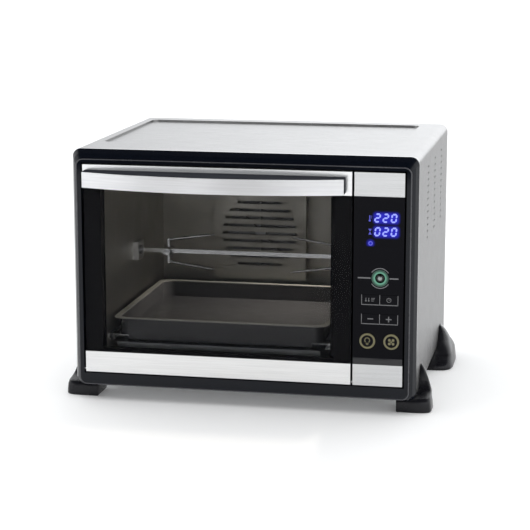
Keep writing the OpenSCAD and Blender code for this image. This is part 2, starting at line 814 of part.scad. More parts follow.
// Claw foot: a side profile crossed with a front profile, cut to the cover.
module foot(side, reach, y0, y1, tip_y, tip_z) {
    inner = half_w - 29;
    out = half_w + reach;
    color([0.04, 0.04, 0.045]) at_seam() mirror([side < 0 ? 1 : 0, 0, 0]) difference() {
        intersection() {
            upright(y0 - 1, y1 - y0 + 40) polygon([[inner, 0], [out, 0], [out - reach * 0.14, 20],
                [out - reach * 0.36, tip_z * 0.65], [out - reach * 0.58, tip_z * 0.87],
                [half_w + 2.5, tip_z], [half_w - 4, tip_z], [half_w - 4, foot_h + 6], [inner, foot_h + 2]]);
            sideways(inner - 1, out - inner + 2) polygon([[y0, 0], [y1, 0], [y1, 20],
                [tip_y[1], tip_z], [tip_y[0], tip_z], [y0 + (tip_y[0] - y0) * 0.6, 26], [y0, 20]]);
        }
        upright(-2, body_d + 4) cover_outline(0.05);
        upright(-30, 28) translate([0, 20]) square([body_w, 60], center = false);
    }
}

module foot_front_left() foot(-1, 21, 0, 46, [50, 60], 60);
module foot_front_right() foot(1, 21, 0, 46, [50, 60], 60);
module foot_rear_left() foot(-1, 27, 246, 350, [318, 330], 56);
module foot_rear_right() foot(1, 27, 246, 350, [318, 330], 56);

// Two wall spacers and the cord gland, all moulded plastic on the back panel.
module rear_fittings() {
    y = body_d - 2;
    color([0.06, 0.06, 0.07]) at_seam() {
        for (s = [-1, 1]) {
            rod_y(y, body_d + spacer_l, s * 190, 300, 8);
            rod_y(y, y + 3, s * 190, 300, 13);
        }
        difference() {
            union() {
                rod_y(y, y + 10, 200, 62, 12);
                rod_y(y - 6, y + eps, 200, 62, 7.8);
            }
            rod_y(y - 7, y + 11, 200, 62, 4);
        }
    }
}

outer_cover();
back_panel();
base_plate();
front_bezel();
front_frame();
cavity_left_wall();
cavity_right_wall();
cavity_roof();
cavity_floor();
cavity_rear_wall();
shelf_rails();
upper_heaters();
lower_heaters();
heater_bushes();
crumb_tray();
fan_guard();
fan_motor();
fan_blade();
lamp_lens();
lamp_bulb();
temperature_probe();
spit_motor();
spit_bearing();
spit_socket();
spit_rod();
spit_fork_left();
spit_fork_right();
fork_screws();
wire_rack();
baking_tray();
door_frame();
door_glass_outer();
door_glass_inner();
door_trim_top();
door_trim_bottom();
door_seal();
door_stays();
handle_band();
handle_back();
handle_posts();
hinge_pins();
column_fascia();
column_trim_top();
column_trim_bottom();
display_window();
display_digits();
led_ring();
start_button();
temperature_key();
time_key();
minus_key();
plus_key();
light_key();
fan_key();
control_board();
foot_front_left();
foot_front_right();
foot_rear_left();
foot_rear_right();
rear_fittings();
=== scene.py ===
"""Looks of the counter-top rotisserie oven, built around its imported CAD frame.

Everything is in metres. X runs across the front, -Y is the front, Z is up, and
the origin is on the floor under the middle of the oven.
"""
import json
import math

import bmesh
import bpy
from mathutils import Matrix, Vector

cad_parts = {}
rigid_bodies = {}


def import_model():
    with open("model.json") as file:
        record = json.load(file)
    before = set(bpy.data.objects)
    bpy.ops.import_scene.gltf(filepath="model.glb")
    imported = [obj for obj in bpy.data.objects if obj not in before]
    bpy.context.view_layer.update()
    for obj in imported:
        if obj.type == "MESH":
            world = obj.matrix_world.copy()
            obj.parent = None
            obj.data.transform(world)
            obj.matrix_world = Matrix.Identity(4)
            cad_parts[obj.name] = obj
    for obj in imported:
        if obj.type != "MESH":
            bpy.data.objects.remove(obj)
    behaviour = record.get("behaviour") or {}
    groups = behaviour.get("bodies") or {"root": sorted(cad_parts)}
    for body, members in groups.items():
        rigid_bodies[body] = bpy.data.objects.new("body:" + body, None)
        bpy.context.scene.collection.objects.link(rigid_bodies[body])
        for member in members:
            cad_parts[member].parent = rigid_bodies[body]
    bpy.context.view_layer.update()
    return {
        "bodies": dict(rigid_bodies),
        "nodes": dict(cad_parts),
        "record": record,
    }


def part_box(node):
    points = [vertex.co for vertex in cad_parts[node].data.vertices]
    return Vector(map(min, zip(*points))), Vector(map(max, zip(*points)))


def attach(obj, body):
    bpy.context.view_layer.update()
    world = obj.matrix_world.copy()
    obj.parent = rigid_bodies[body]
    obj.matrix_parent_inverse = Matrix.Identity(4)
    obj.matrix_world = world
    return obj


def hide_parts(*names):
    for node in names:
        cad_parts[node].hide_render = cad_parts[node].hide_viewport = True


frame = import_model()
nodes = frame["nodes"]
MM = 0.001                        # a millimetre, in metres
ALONG_X = (5, 900, 1500)          # noise scale of steel that is brushed along X


# ---------------------------------------------------------------- camera and stage

def make_camera():
    """A long lens, a little to the right of the oven and above it."""
    place = (0.5174, -2.6021, 0.6994)
    azimuth, elevation = math.radians(11.32), math.radians(11.22)
    back = Vector((math.sin(azimuth) * math.cos(elevation),
                   -math.cos(azimuth) * math.cos(elevation),
                   math.sin(elevation)))
    right = Vector((math.cos(azimuth), math.sin(azimuth), 0))
    up = back.cross(right)
    camera = bpy.data.objects.new("camera", bpy.data.cameras.new("camera"))
    bpy.context.scene.collection.objects.link(camera)
    camera.data.sensor_width = 36
    camera.data.lens = 120.36
    camera.data.clip_end = 50
    turn = Matrix((right, up, back)).transposed()
    camera.matrix_world = Matrix.Translation(place) @ turn.to_4x4()
    bpy.context.scene.camera = camera


def area_light(name, place, target, size, power, colour=(1, 1, 1)):
    """A soft light that fills the scene but leaves no bright shape in the gloss."""
    light = bpy.data.objects.new(name, bpy.data.lights.new(name, "AREA"))
    bpy.context.scene.collection.objects.link(light)
    light.data.shape = "RECTANGLE"
    light.data.size, light.data.size_y = size
    light.data.energy = power
    light.data.color = colour
    light.visible_glossy = False
    light.location = place
    aim = Vector(target) - Vector(place)
    light.rotation_euler = aim.to_track_quat("-Z", "Y").to_euler()


def studio_world():
    """A white studio: dark overhead, brightest low behind the oven, soft dark bands in front."""
    world = bpy.data.worlds.new("studio")
    world.use_nodes = True
    tree = world.node_tree
    direction = tree.nodes.new("ShaderNodeTexCoord").outputs["Generated"]

    def vector_op(operation, source, constant=None):
        node = tree.nodes.new("ShaderNodeVectorMath")
        node.operation = operation
        tree.links.new(source, node.inputs[0])
        if constant is not None:
            node.inputs[1].default_value = constant
        return node

    def fade(source, axis, near, far, low, high):
        """low outside the wide angle far, high inside the narrow angle near (degrees)."""
        dot = vector_op("DOT_PRODUCT", source, Vector(axis).normalized())
        blend = tree.nodes.new("ShaderNodeMapRange")
        blend.interpolation_type = "SMOOTHSTEP"
        blend.inputs["From Min"].default_value = math.cos(math.radians(far))
        blend.inputs["From Max"].default_value = math.cos(math.radians(near))
        blend.inputs["To Min"].default_value = low
        blend.inputs["To Max"].default_value = high
        tree.links.new(dot.outputs["Value"], blend.inputs["Value"])
        return blend.outputs["Result"]

    def band(azimuth, near, far, depth):
        """A dark upright band, at an azimuth that counts from the front."""
        turn = math.radians(azimuth)
        return fade(level, (math.sin(turn), -math.cos(turn), 0), near, far, 1.0, depth)

    flat = vector_op("MULTIPLY", direction, (1, 1, 0)).outputs["Vector"]
    level = vector_op("NORMALIZE", flat).outputs["Vector"]
    strength = fade(direction, (0, -0.2, 0.98), 38, 58, 1.0, 0.05)
    behind = fade(direction, (0.12, 0.97, 0.2), 3, 30, 1.55, 3.1)
    for factor in (behind, band(-29, 3, 8, 0.05), band(-3, 5, 12, 0.05)):
        node = tree.nodes.new("ShaderNodeMath")
        node.operation = "MULTIPLY"
        tree.links.new(strength, node.inputs[0])
        tree.links.new(factor, node.inputs[1])
        strength = node.outputs[0]
    background = tree.nodes["Background"]
    background.inputs["Color"].default_value = (0.97, 0.985, 1, 1)
    tree.links.new(strength, background.inputs["Strength"])
    bpy.context.scene.world = world


def make_stage():
    """A wide pale floor, the studio around it, a broad soft light overhead and one in front."""
    mesh = bpy.data.meshes.new("floor")
    reach = 40
    corners = [(-reach, -reach, 0), (reach, -reach, 0), (reach, reach, 0), (-reach, reach, 0)]
    mesh.from_pydata(corners, [], [(0, 1, 2, 3)])
    floor = bpy.data.objects.new("floor", mesh)
    bpy.context.scene.collection.objects.link(floor)
    paper = bpy.data.materials.new("pale_paper")
    paper.use_nodes = True
    shader = paper.node_tree.nodes["Principled BSDF"]
    shader.inputs["Base Color"].default_value = (0.94, 0.94, 0.94, 1)
    shader.inputs["Roughness"].default_value = 0.7
    shader.inputs["Specular IOR Level"].default_value = 0.1
    shader.inputs["Emission Color"].default_value = (1, 1, 1, 1)
    shader.inputs["Emission Strength"].default_value = 0.08
    floor.data.materials.append(paper)
    studio_world()
    bpy.context.scene.view_settings.view_transform = "Standard"
    sky = bpy.data.objects.new("overhead", bpy.data.lights.new("overhead", "SUN"))
    bpy.context.scene.collection.objects.link(sky)
    sky.data.energy = 1.5
    sky.data.angle = math.radians(75)
    sky.visible_glossy = False
    sky.rotation_euler = Vector((0.12, 0.2, -1)).to_track_quat("-Z", "Y").to_euler()
    area_light("front_fill", (0.9, -3.0, 0.9), (0, 0, 0.2), (1.6, 1.2), 8)


make_camera()
make_stage()


# ---------------------------------------------------------------- materials

class Shader:
    """A Principled material with a few shorthands for its procedural detail."""

    def __init__(self, name, colour, roughness, metallic=0.0, **constants):
        self.material = bpy.data.materials.new(name)
        self.material.use_nodes = True
        self.tree = self.material.node_tree
        self.bsdf = self.tree.nodes["Principled BSDF"]
        self.colour = colour
        self.set("Base Color", (*colour, 1))
        self.set("Roughness", roughness)
        self.set("Metallic", metallic)
        for socket, value in constants.items():
            self.set(socket.replace("_", " "), value)
        self.coordinates = self.tree.nodes.new("ShaderNodeTexCoord").outputs["Object"]
        self.last_bump = None

    def set(self, socket, value):
        self.bsdf.inputs[socket].default_value = value

    def vector_math(self, operation, source, constant=None, output="Vector"):
        node = self.tree.nodes.new("ShaderNodeVectorMath")
        node.operation = operation
        self.tree.links.new(source, node.inputs[0])
        if constant is not None:
            node.inputs[1].default_value = constant
        return node.outputs[output]

    def combine(self, operation, first, second):
        node = self.tree.nodes.new("ShaderNodeMath")
        node.operation = operation
        self.tree.links.new(first, node.inputs[0])
        self.tree.links.new(second, node.inputs[1])
        return node.outputs[0]

    def axis(self, source, name):
        """The X, Y or Z part of a vector."""
        split = self.tree.nodes.new("ShaderNodeSeparateXYZ")
        self.tree.links.new(source, split.inputs["Vector"])
        return split.outputs[name]

    def distance_out(self, node):
        """How far a point lies from the middle of a CAD node, measured across the front."""
        low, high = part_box(node)
        offset = self.vector_math("SUBTRACT", self.coordinates, (low + high) / 2)
        flat = self.vector_math("MULTIPLY", offset, (1, 0, 1))
        return self.vector_math("LENGTH", flat, output="Value")

    def noise(self, scale, detail=3.0, rough=0.55):
        """Noise with a scale for each axis, in cycles per metre."""
        mapping = self.tree.nodes.new("ShaderNodeMapping")
        mapping.inputs["Scale"].default_value = scale
        texture = self.tree.nodes.new("ShaderNodeTexNoise")
        texture.inputs["Scale"].default_value = 1.0
        texture.inputs["Detail"].default_value = detail
        texture.inputs["Roughness"].default_value = rough
        self.tree.links.new(self.coordinates, mapping.inputs["Vector"])
        self.tree.links.new(mapping.outputs["Vector"], texture.inputs["Vector"])
        return texture.outputs["Fac"]

    def spread(self, value, low, high, start=0.3, end=0.7, kind="LINEAR"):
        """Maps start..end to low..high; the default range is where noise mostly lies."""
        node = self.tree.nodes.new("ShaderNodeMapRange")
        node.interpolation_type = kind
        node.inputs["From Min"].default_value = start
        node.inputs["From Max"].default_value = end
        node.inputs["To Min"].default_value = low
        node.inputs["To Max"].default_value = high
        self.tree.links.new(value, node.inputs["Value"])
        return node.outputs["Result"]

    def roughness(self, value, low, high):
        self.tree.links.new(self.spread(value, low, high), self.bsdf.inputs["Roughness"])

    def tint(self, value, low, high):
        """Varies the base colour between two multiples of itself."""
        mix = self.tree.nodes.new("ShaderNodeMix")
        mix.data_type = "RGBA"
        mix.inputs["A"].default_value = (*[c * low for c in self.colour], 1)
        mix.inputs["B"].default_value = (*[c * high for c in self.colour], 1)
        self.tree.links.new(self.spread(value, 0, 1), mix.inputs["Factor"])
        self.tree.links.new(mix.outputs["Result"], self.bsdf.inputs["Base Color"])

    def bump(self, value, strength, distance):
        node = self.tree.nodes.new("ShaderNodeBump")
        node.inputs["Strength"].default_value = strength
        node.inputs["Distance"].default_value = distance
        self.tree.links.new(value, node.inputs["Height"])
        if self.last_bump is not None:
            self.tree.links.new(self.last_bump, node.inputs["Normal"])
        self.last_bump = node.outputs["Normal"]
        self.tree.links.new(self.last_bump, self.bsdf.inputs["Normal"])


def brushed_steel(name, colour, roughness, blur, metallic=1.0):
    """Steel brushed along X, whose reflections blur across the brushing."""
    steel = Shader(name, colour, roughness, metallic=metallic, Anisotropic=blur,
                   Anisotropic_Rotation=0.25)
    tangent = steel.tree.nodes.new("ShaderNodeTangent")
    tangent.direction_type = "RADIAL"
    tangent.axis = "Z"
    steel.tree.links.new(tangent.outputs["Tangent"], steel.bsdf.inputs["Tangent"])
    streaks = steel.noise(ALONG_X, detail=4)
    steel.roughness(streaks, roughness - 0.06, roughness + 0.08)
    steel.bump(streaks, 0.06, 0.0001)
    steel.tint(steel.noise((11, 11, 420), detail=3), 0.93, 1.04)
    return steel.material


def plain_metal(name, colour, roughness, blotch=40, wear=0.08, **constants):
    metal = Shader(name, colour, roughness, metallic=1.0, **constants)
    cloud = metal.noise((blotch, blotch, blotch), detail=5)
    metal.roughness(cloud, roughness - wear / 2, roughness + wear)
    metal.tint(metal.noise((blotch / 3, blotch / 3, blotch / 3)), 0.9, 1.05)
    metal.bump(metal.noise((900, 900, 900), detail=2), 0.05, 0.0001)
    return metal.material


def plastic(name, colour, roughness, texture=0.04, **constants):
    shell = Shader(name, colour, roughness, **constants)
    shell.roughness(shell.noise((30, 30, 30), detail=4), roughness - 0.03, roughness + 0.05)
    shell.tint(shell.noise((12, 12, 12)), 0.92, 1.1)
    shell.bump(shell.noise((1600, 1600, 1600), detail=2), texture, 0.0001)
    return shell.material


def glass(name, colour, alpha, roughness=0.03, **constants):
    pane = Shader(name, colour, roughness, **constants)
    pane.set("Alpha", alpha)
    pane.roughness(pane.noise((14, 14, 14), detail=5), roughness * 0.6, roughness * 1.6)
    return pane.material


def glowing(name, colour, strength):
    lit = Shader(name, [c * 0.12 for c in colour], 0.4)
    lit.set("Emission Color", (*colour, 1))
    lit.set("Emission Strength", strength)
    lit.tint(lit.noise((120, 120, 120)), 0.9, 1.1)
    return lit.material


def circuit_green():
    board = Shader("circuit_green", (0.01, 0.1, 0.04), 0.35)
    board.tint(board.noise((300, 300, 20), detail=1), 0.7, 1.5)
    board.bump(board.noise((700, 700, 700)), 0.1, 0.0002)
    return board.material


def cover_steel():
    """Brushed cover: the grain runs along the sheet, up one side, over the top and down."""
    steel = Shader("cover_steel", (0.465, 0.463, 0.459), 0.26, metallic=1.0,
                   Specular_Tint=(0.51, 0.51, 0.515, 1))
    grain = steel.noise((22, 1200, 22), detail=4)
    streaks = steel.noise((30, 240, 45), detail=3, rough=0.6)
    steel.roughness(grain, 0.24, 0.34)
    steel.bump(grain, 0.02, 0.00005)
    steel.tint(streaks, 0.9, 1.06)
    return steel.material


def bezel_plastic():
    """Gloss black moulding. The dull top of its front face is painted shade, set by tone."""
    shell = Shader("black_plastic", (0.002, 0.003, 0.006), 0.16)
    shell.roughness(shell.noise((30, 30, 30), detail=4), 0.13, 0.2)
    normal = shell.tree.nodes.new("ShaderNodeNewGeometry").outputs["True Normal"]
    faces_front = shell.spread(shell.axis(normal, "Y"), 0, 1, -0.93, -0.99)
    # The front face's gloss is turned down above the handle's height: painted shade under the
    # handle.
    behind_handle = shell.spread(shell.axis(shell.coordinates, "Z"), 0, 1, 0.33, 0.348)
    shade = shell.combine("MULTIPLY", faces_front, behind_handle)
    gloss = shell.spread(shade, 0.25, 0.03, 0, 1)
    shell.tree.links.new(gloss, shell.bsdf.inputs["Specular IOR Level"])
    return shell.material


def display_lens():
    """Smoked lens with a blue glow that hugs the lit figures."""
    lens = Shader("display_lens", (0.002, 0.002, 0.0035), 0.1, Specular_IOR_Level=0.07)
    low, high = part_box("display_digits")
    glow = None
    for x0, x1, z0, z1 in glow_boxes(low, high):
        distance = lens.coordinates
        for operation, value in (("SUBTRACT", ((x0 + x1) / 2, 0, (z0 + z1) / 2)),
                                 ("MULTIPLY", (1, 0, 1)), ("ABSOLUTE", None),
                                 ("SUBTRACT", ((x1 - x0) / 2, 0, (z1 - z0) / 2)),
                                 ("MAXIMUM", (0, 0, 0))):
            distance = lens.vector_math(operation, distance, value)
        distance = lens.vector_math("LENGTH", distance, output="Value")
        halo = lens.spread(distance, 1, 0, 0, 8 * MM, kind="SMOOTHERSTEP")
        glow = halo if glow is None else lens.combine("MAXIMUM", glow, halo)
    lens.set("Emission Color", (0.02, 0.02, 0.5, 1))
    lens.tree.links.new(glow, lens.bsdf.inputs["Emission Strength"])
    return lens.material


def glow_boxes(low, high):
    """The x and z ranges of the two rows of figures and the small ring under them."""
    x1 = high.x - 4.5 * MM
    rows = [(x1 - 27 * MM, x1, high.z - 10.5 * MM, high.z - 3.5 * MM),
            (x1 - 27 * MM, x1, high.z - 29.8 * MM, high.z - 22.9 * MM)]
    ring = (low.x + 4.2 * MM, low.x + 4.6 * MM, low.z + 3.2 * MM, low.z + 3.6 * MM)
    return rows + [ring]


def enamel():
    """Speckled dark enamel, with a painted highlight along the tray's rim."""
    coat = Shader("enamel", (0.035, 0.035, 0.038), 0.25)
    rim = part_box("baking_tray")[1].z
    coat.tint(coat.noise((900, 900, 900), detail=1), 0.7, 1.5)
    speckled = coat.bsdf.inputs["Base Color"].links[0].from_socket
    height = coat.axis(coat.coordinates, "Z")
    # The paler band just under the tray's rim is a painted highlight.
    mix = coat.tree.nodes.new("ShaderNodeMix")
    mix.data_type = "RGBA"
    mix.inputs["B"].default_value = (0.2, 0.2, 0.195, 1)
    coat.tree.links.new(speckled, mix.inputs["A"])
    coat.tree.links.new(coat.spread(height, 0, 1, rim - 1.5 * MM, rim - 0.8 * MM),
                        mix.inputs["Factor"])
    coat.tree.links.new(mix.outputs["Result"], coat.bsdf.inputs["Base Color"])
    return coat.material


def crowned_metal():
    """Dark chrome. The bright spot on the dome is painted, and is no reflection."""
    dome = Shader("button_metal", (0.09, 0.1, 0.096), 0.2, metallic=1.0)
    crown = dome.spread(dome.distance_out("start_button"), 1, 0, 1.4 * MM, 4.4 * MM)
    dome.tint(crown, 0.3, 3.2)
    dome.bump(dome.noise((900, 900, 900), detail=2), 0.05, 0.0001)
    return dome.material


def lit_ring():
    """Frosted ring whose lamp sits close to its inner edge."""
    ring = Shader("lit_ring", (0.012, 0.05, 0.032), 0.35)
    ring.set("Emission Color", (0.17, 0.50, 0.34, 1))
    strength = ring.spread(ring.distance_out("led_ring"), 0.58, 0.03, 8.0 * MM, 10.4 * MM)
    ring.tree.links.new(strength, ring.bsdf.inputs["Emission Strength"])
    ring.tint(ring.noise((300, 300, 300)), 0.8, 1.2)
    return ring.material


LOOKS = {
    "brushed_steel": brushed_steel("strip_steel", (0.72, 0.725, 0.73), 0.13, 0.4),
    "cover_steel": cover_steel(),
    "galvanised_steel": plain_metal("galvanised_steel", (0.42, 0.43, 0.44), 0.42, blotch=70,
                                    wear=0.2),
    "cavity_steel": plain_metal("cavity_steel", (0.55, 0.53, 0.48), 0.45, blotch=25, wear=0.15),
    "black_plastic": bezel_plastic(),
    "fascia_plastic": plastic("fascia_plastic", (0.002, 0.002, 0.0035), 0.1, texture=0.01,
                              Specular_IOR_Level=0.07),
    "foot_plastic": plastic("foot_plastic", (0.005, 0.005, 0.007), 0.28, texture=0.05,
                            Specular_IOR_Level=0.3),
    "door_paint": plastic("door_paint", (0.008, 0.008, 0.009), 0.6, texture=0.004,
                          Specular_IOR_Level=0.05),
    "tinted_glass": glass("tinted_glass", (0.002, 0.002, 0.003), 0.2, Specular_IOR_Level=0.08),
    "clear_glass": glass("clear_glass", (0.02, 0.022, 0.022), 0.06),
    "chromed_wire": plain_metal("chromed_wire", (0.62, 0.62, 0.63), 0.16, wear=0.05),
    "heater_sheath": plain_metal("heater_sheath", (0.12, 0.11, 0.105), 0.5, blotch=90),
    "ceramic": plastic("ceramic", (0.75, 0.72, 0.65), 0.4, texture=0.1),
    "enamel": enamel(),
    "silicone": plastic("silicone", (0.03, 0.03, 0.032), 0.6, texture=0.1),
    "motor_steel": plain_metal("motor_steel", (0.35, 0.36, 0.37), 0.35),
    "lamp_glass": glass("lamp_glass", (0.8, 0.78, 0.7), 0.5, roughness=0.3),
    "display_lens": display_lens(),
    "display_blue": glowing("display_blue", (0.31, 0.36, 1.0), 1.05),
    "ring_green": lit_ring(),
    "button_metal": crowned_metal(),
    "key_plastic": plastic("key_plastic", (0.002, 0.002, 0.0035), 0.12, texture=0.01,
                           Specular_IOR_Level=0.08),
    "round_key_gold": plastic("round_key_gold", (0.145, 0.132, 0.065), 0.35),
    "circuit_board": circuit_green(),

    # Looks that a few nodes and pieces wear in place of the one their slot is named for.
    # The column steel is a darker copy of the strips' steel, painted shade set by tone;
    # the strip over the handle wears a paler, part-diffuse copy, painted light.
    "shaded_column_steel": brushed_steel("shaded_column_steel", (0.6, 0.605, 0.61), 0.2, 0.4),
    "lit_strip_steel": brushed_steel("lit_strip_steel", (0.85, 0.855, 0.86), 0.15, 0.3, metallic=0.62),
    "handle_steel": brushed_steel("handle_steel", (0.8, 0.8, 0.81), 0.42, 0.85),
    "grip_plastic": plastic("grip_plastic", (0.03, 0.032, 0.038), 0.8, texture=0.06,
                            Specular_IOR_Level=0.0),
    "dim_blue": glowing("dim_blue", (0.10, 0.11, 0.75), 0.7),
    # A paler copy of the bezel's black: a painted highlight along the ridge.
    "ridge_highlight_plastic": plastic("ridge_highlight_plastic", (0.05, 0.05, 0.056), 0.25),
    "ledge_plastic": plastic("ledge_plastic", (0.008, 0.008, 0.01), 0.3),
    "print": plastic("printed_grey", (0.13, 0.13, 0.135), 0.5),
}
OWN_LOOK = {
    "column_trim_top": "shaded_column_steel", "column_trim_bottom": "shaded_column_steel",
    "door_trim_top": "lit_strip_steel", "handle_band": "handle_steel", "handle_back": "grip_plastic",
}

for row in frame["record"]["subparts"]:
    node = nodes[row["node"]]
    node.data.materials.clear()
    node.data.materials.append(LOOKS[OWN_LOOK.get(row["node"], row["material_slot"])])


# ---------------------------------------------------------------- mesh helpers

def add_piece(name, bm, slot, body, look=None, smooth=True):
    """Makes an object of a bmesh, with the look named for its slot unless another is given, on its
    body.
    """
    mesh = bpy.data.meshes.new(name)
    bmesh.ops.recalc_face_normals(bm, faces=bm.faces)
    bm.to_mesh(mesh)
    bm.free()
    piece = bpy.data.objects.new(name, mesh)
    bpy.context.scene.collection.objects.link(piece)
    mesh.materials.append(LOOKS[look or slot])
    for face in mesh.polygons:
        face.use_smooth = smooth
    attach(piece, body)
    return piece


def add_bevel(piece, width, segments=2, angle=40):
    bevel = piece.modifiers.new("soft_edges", "BEVEL")
    bevel.width = width
    bevel.segments = segments
    bevel.limit_method = "ANGLE"
    bevel.angle_limit = math.radians(angle)
    bevel.harden_normals = False
    return bevel


def loft(rings):
    """Skins equal rings of points, and caps the first and the last."""
    bm = bmesh.new()
    made = [[bm.verts.new(point) for point in ring] for ring in rings]
    for lower, upper in zip(made, made[1:]):
        for i in range(len(lower)):
            j = (i + 1) % len(lower)
            bm.faces.new((lower[i], lower[j], upper[j], upper[i]))
    bm.faces.new(made[0][::-1])
    bm.faces.new(made[-1])
    return bm


def turned(profile, centre, steps=64):
    """A solid turned about an axis along Y: the profile is (radius, y) pairs."""
    bm = bmesh.new()
    rings = []
    turns = [2 * math.pi * i / steps for i in range(steps)]
    for radius, y in profile:
        if radius < 0.0001 * MM:
            rings.append([bm.verts.new((centre.x, y, centre.z))])
            continue
        rings.append([bm.verts.new((centre.x + radius * math.cos(turn), y,
                                    centre.z + radius * math.sin(turn))) for turn in turns])
    for a, b in zip(rings, rings[1:]):
        for i in range(steps):
            j = (i + 1) % steps
            if len(a) == 1:
                bm.faces.new((a[0], b[j], b[i]))
            elif len(b) == 1:
                bm.faces.new((a[i], a[j], b[0]))
            else:
                bm.faces.new((a[i], a[j], b[j], b[i]))
    return bm


def smooth_curve(points, steps):
    """Points along a Catmull-Rom curve through the given (height, value) pairs."""
    padded = [points[0]] + list(points) + [points[-1]]
    result = []
    for p0, p1, p2, p3 in zip(padded, padded[1:], padded[2:], padded[3:]):
        for i in range(steps):
            t = i / steps
            result.append(tuple(0.5 * (2 * b + (c - a) * t + (2 * a - 5 * b + 4 * c - d) * t * t
                                       + (3 * b - a - 3 * c + d) * t ** 3)
                                for a, b, c, d in zip(p0, p1, p2, p3)))
    result.append(points[-1])
    return result


# ---------------------------------------------------------------- printed marks

def arc_points(cx, cz, radius, start, end, steps=24):
    """Points (x, z) along an arc, whose angles are in degrees."""
    angles = [math.radians(start + (end - start) * i / steps) for i in range(steps + 1)]
    return [(cx + radius * math.cos(a), cz + radius * math.sin(a)) for a in angles]


class Print:
    """Ink marks on a face that looks along -Y, each a thin raised film."""

    def __init__(self, face_y, thickness=0.08 * MM):
        self.bm = bmesh.new()
        self.y = face_y
        self.thickness = thickness

    def shape(self, outline):
        front = [self.bm.verts.new((x, self.y - self.thickness, z)) for x, z in outline]
        back = [self.bm.verts.new((x, self.y + 0.02 * MM, z)) for x, z in outline]
        self.bm.faces.new(front)
        self.bm.faces.new(back[::-1])
        for i in range(len(outline)):
            j = (i + 1) % len(outline)
            self.bm.faces.new((front[i], back[i], back[j], front[j]))

    def stroke(self, path, width, closed=False):
        """A line of even width along a path of (x, z) points."""
        count = len(path)
        left, right = [], []
        for i, (x, z) in enumerate(path):
            before = path[i - 1] if i or closed else path[0]
            after = path[(i + 1) % count] if i < count - 1 or closed else path[-1]
            dx, dz = after[0] - before[0], after[1] - before[1]
            length = math.hypot(dx, dz) or 1
            nx, nz = -dz / length * width / 2, dx / length * width / 2
            left.append((x + nx, z + nz))
            right.append((x - nx, z - nz))
        for i in range(count if closed else count - 1):
            j = (i + 1) % count
            self.shape([left[i], left[j], right[j], right[i]])

    def ring(self, cx, cz, radius, width):
        self.stroke(arc_points(cx, cz, radius, 0, 345, 23), width, closed=True)

    def disc(self, cx, cz, radius):
        self.shape(arc_points(cx, cz, radius, 0, 340, 17))

    def finish(self, name, body, look="print", slot="key_plastic"):
        return add_piece(name, self.bm, slot, body, look=look, smooth=False)


def middle(node):
    """The middle and the two corners of a CAD node's box."""
    low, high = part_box(node)
    return (low + high) / 2, low, high


def mark_fascia():
    """Arcs and lines round the start button, and a tray-shaped outline under each pair of keys."""
    ink = Print(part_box("column_fascia")[0].y)
    centre = middle("start_button")[0]
    for start in (34, 214):
        ink.stroke(arc_points(centre.x, centre.z, 14.2 * MM, start, start + 112), 1.2 * MM)
    for near, far in ((-13.4, -31.5), (13.4, 26)):
        ink.stroke([(centre.x + near * MM, centre.z), (centre.x + far * MM, centre.z)], 1.8 * MM)
    gap = 0.7 * MM
    for left_key, right_key in (("temperature_key", "time_key"), ("minus_key", "plus_key")):
        low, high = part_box(left_key)[0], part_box(right_key)[1]
        between = (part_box(left_key)[1].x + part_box(right_key)[0].x) / 2
        x0, x1, z0, z1 = low.x - gap, high.x + gap, low.z - gap, high.z
        for x in (x0, x1, between):
            ink.stroke([(x, z1), (x, z0)], 1.0 * MM)
        ink.stroke([(x0 - 0.5 * MM, z0), (x1 + 0.5 * MM, z0)], 1.2 * MM)
    ink.finish("fascia_marks", "casing", slot="fascia_plastic")


def draw_temperature(ink, c):
    """Two thermometers and three bars."""
    for x in (c.x - 6.5 * MM, c.x - 2.5 * MM):
        ink.stroke([(x, c.z + 2.4 * MM), (x, c.z - 1 * MM)], 0.9 * MM)
        ink.disc(x, c.z - 1.8 * MM, 1.1 * MM)
    for i in range(3):
        z = c.z + (2 - 2 * i) * MM
        ink.stroke([(c.x + 1 * MM, z), (c.x + (6.5 - i) * MM, z)], 0.7 * MM)


def draw_clock(ink, c):
    ink.ring(c.x, c.z, 3 * MM, 0.7 * MM)
    ink.stroke([(c.x, c.z + 1.9 * MM), (c.x, c.z), (c.x + 1.5 * MM, c.z)], 0.6 * MM)


def draw_minus(ink, c):
    ink.stroke([(c.x - 4 * MM, c.z), (c.x + 4 * MM, c.z)], 1.5 * MM)


def draw_plus(ink, c):
    draw_minus(ink, c)
    for top, bottom in ((4, 0.75), (-0.75, -4)):
        ink.stroke([(c.x, c.z + top * MM), (c.x, c.z + bottom * MM)], 1.5 * MM)


def mark_key(name, draw_icon):
    """Prints the icon of a rectangular key, which moves with the key."""
    centre, low, _ = middle(name + "_key")
    ink = Print(low.y)
    draw_icon(ink, centre)
    ink.finish(name + "_icon", name + "_key")


def make_round_key(node, draw_icon):
    """Black domed key with a gold rim and a printed icon."""
    centre, low, high = middle(node)
    radius = (high.x - low.x) / 2
    y = low.y
    rim = turned([(radius, high.y - 2 * MM), (radius, y + 0.5 * MM),
                  (radius - 0.3 * MM, y + 0.15 * MM), (radius - 0.8 * MM, y),
                  (radius - 2.4 * MM, y), (radius - 2.8 * MM, y + 0.25 * MM)], centre)
    add_piece(node + "_rim", rim, "round_key_gold", node)
    cap = turned([(radius - 2.7 * MM, y + 1.2 * MM), (radius - 2.7 * MM, y + 0.25 * MM),
                  (radius - 3.6 * MM, y + 0.12 * MM), (3 * MM, y + 0.05 * MM),
                  (0, y + 0.04 * MM)], centre)
    piece = add_piece(node + "_cap", cap, "round_key_gold", node, look="key_plastic")
    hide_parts(node)
    ink = Print(y + 0.04 * MM)
    draw_icon(ink, centre)
    ink.finish(node + "_icon", node, look="round_key_gold", slot="round_key_gold")


